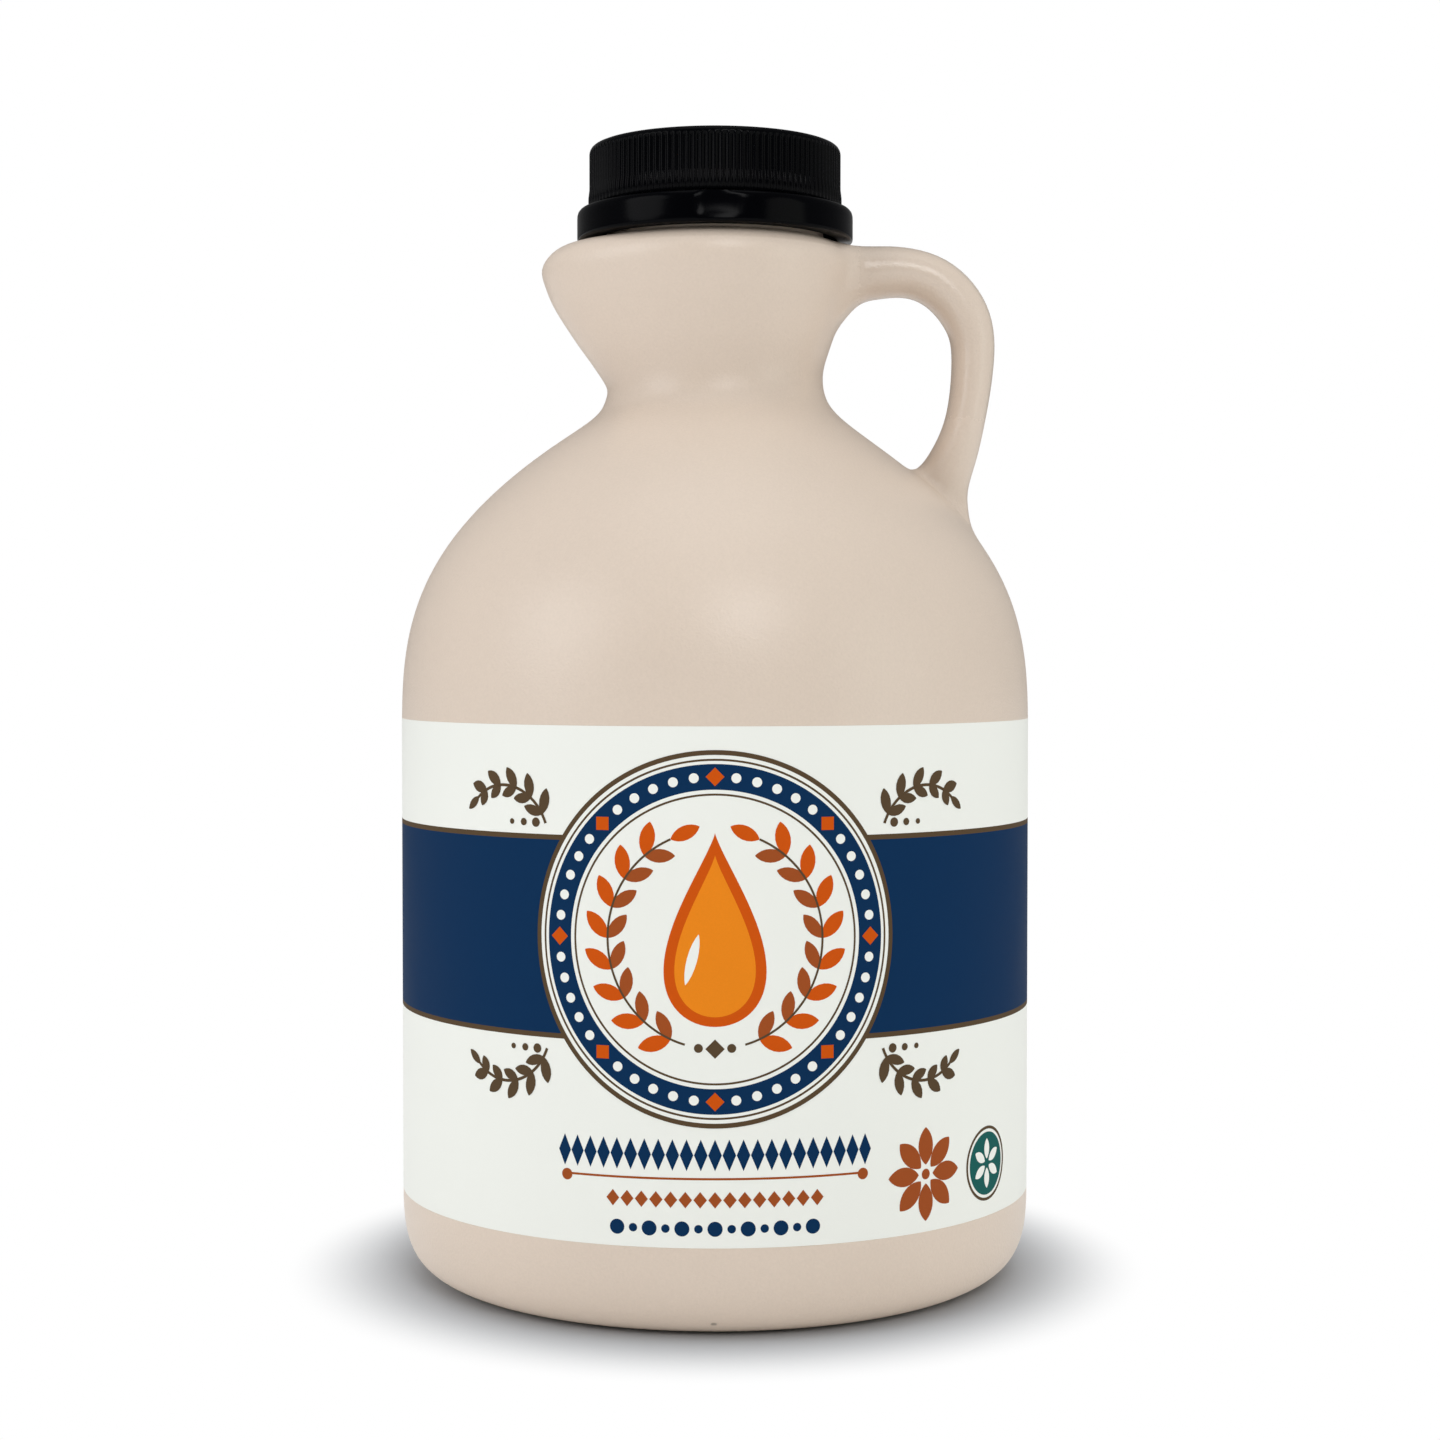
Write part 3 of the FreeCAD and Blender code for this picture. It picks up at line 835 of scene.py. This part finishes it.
class JUG_OT_print(bpy.types.Operator):
    """Print the label: the broad band, the roundel and the small ornaments"""
    bl_idname = "jug.print"
    bl_label = "Label Print"

    def execute(self, context):
        shades = colours()
        half = LABEL_SPAN / 2 - SEAM / 2
        low, high = BAND
        # the broad band
        navy = bmesh.new()
        bar(navy, -half, half, low, high)
        printed(navy, "print_band", ink("navy ink", shades.navy), 1)
        # brown edging
        brown = bmesh.new()
        bar(brown, -half, half, low - 0.75, low)
        bar(brown, -half, half, high, high + 0.75)
        printed(brown, "print_edging", ink("brown ink", shades.brown), 1)
        # the roundel's white ground
        ground = bmesh.new()
        disc(ground, 0, MID, ROUND - 0.2, corners=192)
        printed(ground, "print_roundel", paper_finish("white ink"), 2)
        self.rings(shades)
        self.emblem(shades)
        self.footer(shades)
        return {"FINISHED"}

    def rings(self, shades):
        lines = bmesh.new()
        loop(lines, 0, MID, ROUND, ROUND - 0.7)
        loop(lines, 0, MID, ROUND - 1.25, ROUND - 1.55)
        loop(lines, 0, MID, 21.05, 20.75)
        for side in (-1, 1):
            for edge, rise in ((BAND[0] - 0.75, -1), (BAND[1] + 0.75, 1)):
                spray(lines, side * sqrt(ROUND ** 2 - (edge - MID) ** 2), edge, side, rise)
        printed(lines, "print_lines", bpy.data.materials["brown ink"], 3)
        ring = bmesh.new()
        loop(ring, 0, MID, 25.3, 21.6)
        printed(ring, "print_ring", bpy.data.materials["navy ink"], 3)
        beads = bmesh.new()
        for i in range(48):
            turn = 2 * pi * i / 48
            if i % 6:
                disc(beads, BEAD_RING * cos(turn), MID + BEAD_RING * sin(turn), 0.72, corners=20)
        printed(beads, "print_beads", bpy.data.materials["white ink"], 4)
        stars = bmesh.new()
        for i in range(8):
            turn = 2 * pi * i / 8
            disc(stars, BEAD_RING * cos(turn), MID + BEAD_RING * sin(turn), 1.35, lean=turn, corners=4)
        printed(stars, "print_diamonds", ink("orange ink", shades.orange), 4)

    def emblem(self, shades):
        big = bmesh.new()
        disc(big, 0, MID + 1.4, 9.0, 14.0, corners=96, shape=drop_shape)
        under = bmesh.new()
        for side in (-1, 1):
            for k in range(8):
                turn = radians(-66 + 16.5 * k)
                u, v = side * LAUREL * cos(turn), MID + LAUREL * sin(turn)
                petal(big, u, v, 5.0, 2.3, side * (turn - radians(40)))
                petal(under, u, v, 4.5, 2.0, side * (turn + radians(40)))
            tip = radians(66)
            petal(big, side * LAUREL * cos(tip), MID + LAUREL * sin(tip), 4.6, 2.1, side * tip)
        printed(under, "print_leaves", ink("rust ink", shades.rust), 3)
        printed(big, "print_drop", bpy.data.materials["orange ink"], 3)
        lit = bmesh.new()
        disc(lit, 0, MID + 0.5, 7.1, 11.7, corners=96, shape=drop_shape)
        printed(lit, "print_drop_lit", ink("amber ink", shades.amber), 4)
        glint = bmesh.new()
        petal(glint, -4.3, MID - 6.6, 7.6, 1.5, -0.26)
        printed(glint, "print_glint", bpy.data.materials["white ink"], 5)
        stems = bmesh.new()
        for side in (-1, 1):
            low, high = radians(-74), radians(66)
            start, end = (low, high) if side > 0 else (pi - high, pi - low)
            loop(stems, 0, MID, LAUREL + 0.16, LAUREL - 0.16, corners=80, start=start, end=end)
        disc(stems, 0, MID - LAUREL, 1.4, corners=4)
        for side in (-1, 1):
            disc(stems, side * 2.4, MID - LAUREL + 0.1, 0.65, corners=20)
        printed(stems, "print_stems", bpy.data.materials["brown ink"], 4)

    def footer(self, shades):
        navy = bmesh.new()
        for i in range(-11, 12):
            disc(navy, i * 2.06, 27.7, 0.98, 2.3, corners=4)
        for i in range(-6, 7):
            disc(navy, i * 2.4, 17.0, 0.62 if i % 2 else 1.1, corners=24)
        printed(navy, "print_foot_navy", bpy.data.materials["navy ink"], 1)
        rust = bmesh.new()
        bar(rust, -21.6, 21.6, 24.1, 24.42)
        for side in (-1, 1):
            disc(rust, side * 22.3, 24.1, 0.85, corners=24)
        for i in range(-7, 8):
            disc(rust, i * 2.15, 21.2, 0.98, 1.2, corners=4)
        middle_u, middle_v = ROSETTE
        for i in range(8):
            turn = 2 * pi * i / 8
            petal(rust, middle_u - sin(turn) * 1.4, middle_v + cos(turn) * 1.4, 5.6, 2.9, turn, 28)
        disc(rust, middle_u, middle_v, 0.8, corners=20)
        printed(rust, "print_foot_rust", bpy.data.materials["rust ink"], 1)
        middle_u, middle_v = TOKEN
        green = bmesh.new()
        disc(green, middle_u, middle_v, 4.8, corners=64)
        printed(green, "print_foot_green", ink("green ink", shades.green), 1)
        rim = bmesh.new()
        loop(rim, middle_u, middle_v, 5.7, 5.25, 72)
        printed(rim, "print_foot_rim", bpy.data.materials["brown ink"], 1)
        star = bmesh.new()
        for i in range(6):
            turn = 2 * pi * i / 6
            petal(star, middle_u - sin(turn) * 0.7, middle_v + cos(turn) * 0.7, 3.1, 1.5, turn, 20)
        printed(star, "print_foot_star", bpy.data.materials["white ink"], 2)


# ---------------------------------------------------------------- the stage

# Each lamp's name, place, width, power and tint
LAMPS = (
    ("left softbox", (-0.78, -0.45, 0.46), 0.62, 2.06, (1.0, 1.0, 1.0)),
    ("right softbox", (0.80, -0.46, 0.25), 0.6, 0.90, (0.985, 1.0, 0.90)),
    ("top softbox", (0.0, -0.12, 0.90), 0.7, 0.73, (1.0, 1.0, 1.0)),
    ("front lamp", (0.17, -0.80, 0.60), 0.34, 1.72, (1.0, 1.0, 1.0)),
)
AMBIENT = 0.93               # the room's walls, as the object sees them
FRONT = 0.08                 # the room's dark side, behind the camera
REFLECTED_LOSS = 0.80        # how much dimmer the walls are in reflections
SHADOW_TONE = (0.395, 0.412, 0.436)      # how pale the table is painted to the camera near the jug: a painted shadow deepening the real one
SHADOW_MIDDLE = (0.0, 0.004, 0.0)
SHADOW_SHAPE = (1.06, 1.0, 1.0)          # the painted shadow reaches a little less far to the sides
SHADOW_REACH = (0.049, 0.075)
EYE = (0, -0.4221, 0.10098)  # the camera's place
EYE_DOWN, EYE_TURN = 1.614, -0.11        # how far it looks down and aside, in degrees
LENS = 64.74


class JUG_OT_stage(bpy.types.Operator):
    """Lay the floor, hang the lights and set the camera"""
    bl_idname = "jug.stage"
    bl_label = "Stage"

    def execute(self, context):
        scene = context.scene
        scene.view_settings.view_transform = "Standard"
        self.floor(scene)
        self.world(scene)
        for name, place, size, power, tint in LAMPS:
            self.lamp(scene, name, place, size, power, tint)
        self.camera(scene)
        return {"FINISHED"}

    def floor(self, scene):
        bm = bmesh.new()
        bmesh.ops.create_circle(bm, cap_ends=True, radius=3.0, segments=96)
        mesh = bpy.data.meshes.new("floor")
        bm.to_mesh(mesh)
        bm.free()
        piece = bpy.data.objects.new("floor", mesh)
        scene.collection.objects.link(piece)
        made = bpy.data.materials.new("white table")
        made.use_nodes = True
        tree = made.node_tree
        surface = tree.nodes["Principled BSDF"]
        surface.inputs["Roughness"].default_value = 0.8
        surface.inputs["Specular IOR Level"].default_value = 0.0
        ray = tree.nodes.new("ShaderNodeLightPath")
        seen = ray.outputs["Is Camera Ray"]
        # painted shadow: the camera sees the table in the darker SHADOW_TONE, which fades to white further
        # out
        tone = node(tree, "ShaderNodeMix", data_type="RGBA")
        tone.inputs["A"].default_value = (0.85, 0.85, 0.85, 1)
        tone.inputs["B"].default_value = (*SHADOW_TONE, 1)
        tree.links.new(seen, tone.inputs["Factor"])
        tree.links.new(tone.outputs["Result"], surface.inputs["Base Color"])
        # white to the camera a little way out from the jug, so that only its shadow shows; nearer in, the
        # table's darker tone is a painted shadow over the real one
        place = tree.nodes.new("ShaderNodeTexCoord")
        reach = node(tree, "ShaderNodeVectorMath", operation="DISTANCE")
        reach.inputs[1].default_value = SHADOW_MIDDLE
        shape = node(tree, "ShaderNodeVectorMath", operation="MULTIPLY")
        shape.inputs[1].default_value = SHADOW_SHAPE
        tree.links.new(place.outputs["Object"], shape.inputs[0])
        tree.links.new(shape.outputs["Vector"], reach.inputs[0])
        fade = node(tree, "ShaderNodeMapRange", interpolation_type="SMOOTHSTEP", inputs={
            "From Min": SHADOW_REACH[0], "From Max": SHADOW_REACH[1], "To Min": 0.0, "To Max": 1.0})
        tree.links.new(reach.outputs["Value"], fade.inputs["Value"])
        white = node(tree, "ShaderNodeEmission", inputs={"Color": (1, 1, 1, 1), "Strength": 1.0})
        mix = tree.nodes.new("ShaderNodeMixShader")
        tree.links.new(maths(tree, "MULTIPLY", fade.outputs["Result"], seen), mix.inputs[0])
        tree.links.new(surface.outputs[0], mix.inputs[1])
        tree.links.new(white.outputs[0], mix.inputs[2])
        tree.links.new(mix.outputs[0], tree.nodes["Material Output"].inputs["Surface"])
        mesh.materials.append(made)

    def world(self, scene):
        world = bpy.data.worlds.new("studio")
        scene.world = world
        world.use_nodes = True
        tree = world.node_tree
        sky = tree.nodes["Background"]
        sky.inputs["Color"].default_value = (1, 1, 1, 1)
        ray = tree.nodes.new("ShaderNodeLightPath")
        # bright walls at the sides, behind and above, and a dark side in front
        place = tree.nodes.new("ShaderNodeTexCoord")
        axes = tree.nodes.new("ShaderNodeSeparateXYZ")
        tree.links.new(place.outputs["Generated"], axes.inputs["Vector"])
        front = maths(tree, "MULTIPLY", axes.outputs["Y"], -1.0)
        shade = node(tree, "ShaderNodeMapRange", interpolation_type="SMOOTHSTEP", inputs={
            "From Min": 0.45, "From Max": 0.85, "To Min": AMBIENT, "To Max": FRONT})
        tree.links.new(front, shade.inputs["Value"])
        # reflections see dimmer walls, so that dark plastic stays dark between its highlights
        loss = maths(tree, "MULTIPLY", ray.outputs["Is Glossy Ray"], REFLECTED_LOSS)
        dimmed = maths(tree, "SUBTRACT", 1.0, loss)
        lit = maths(tree, "MULTIPLY", shade.outputs["Result"], dimmed)
        seen = maths(tree, "MAXIMUM", ray.outputs["Is Camera Ray"], lit)
        tree.links.new(seen, sky.inputs["Strength"])

    def lamp(self, scene, name, place, size, power, tint):
        data = bpy.data.lights.new(name, "AREA")
        data.shape = "DISK"
        data.size = size
        data.energy = power
        data.color = tint
        lamp = bpy.data.objects.new(name, data)
        lamp.location = place
        aim = Vector((0, 0, 0.09)) - Vector(place)
        lamp.rotation_euler = aim.to_track_quat("-Z", "Y").to_euler()
        scene.collection.objects.link(lamp)

    def camera(self, scene):
        data = bpy.data.cameras.new("camera")
        data.sensor_width = 36
        data.lens = LENS
        data.clip_start = 0.01
        camera = bpy.data.objects.new("camera", data)
        camera.location = EYE
        camera.rotation_euler = (radians(90 - EYE_DOWN), 0, radians(EYE_TURN))
        scene.collection.objects.link(camera)
        scene.camera = camera


class JUG_PT_panel(bpy.types.Panel):
    """The jug's sizes, colours and building steps"""
    bl_idname = "JUG_PT_panel"
    bl_label = "Syrup Jug"
    bl_space_type = "VIEW_3D"
    bl_region_type = "UI"
    bl_category = "Syrup Jug"

    def draw(self, context):
        layout = self.layout
        for group in (context.scene.jug_sizes, context.scene.jug_colours):
            box = layout.box()
            for name in group.bl_rna.properties.keys():
                if name not in ("rna_type", "name"):
                    box.prop(group, name)
        for step in STEPS:
            layout.operator(step.bl_idname)


STEPS = (JUG_OT_body, JUG_OT_cap, JUG_OT_band, JUG_OT_label, JUG_OT_print, JUG_OT_stage)
CLASSES = (JugSizes, JugColours) + STEPS + (JUG_PT_panel,)


def register():
    for item in CLASSES:
        bpy.utils.register_class(item)
    bpy.types.Scene.jug_sizes = bpy.props.PointerProperty(type=JugSizes)
    bpy.types.Scene.jug_colours = bpy.props.PointerProperty(type=JugColours)


def unregister():
    del bpy.types.Scene.jug_colours
    del bpy.types.Scene.jug_sizes
    for item in reversed(CLASSES):
        bpy.utils.unregister_class(item)


def main():
    register()
    bpy.ops.jug.body()
    bpy.ops.jug.cap()
    bpy.ops.jug.band()
    bpy.ops.jug.label()
    bpy.ops.jug.print()
    bpy.ops.jug.stage()


if __name__ == "__main__":
    main()
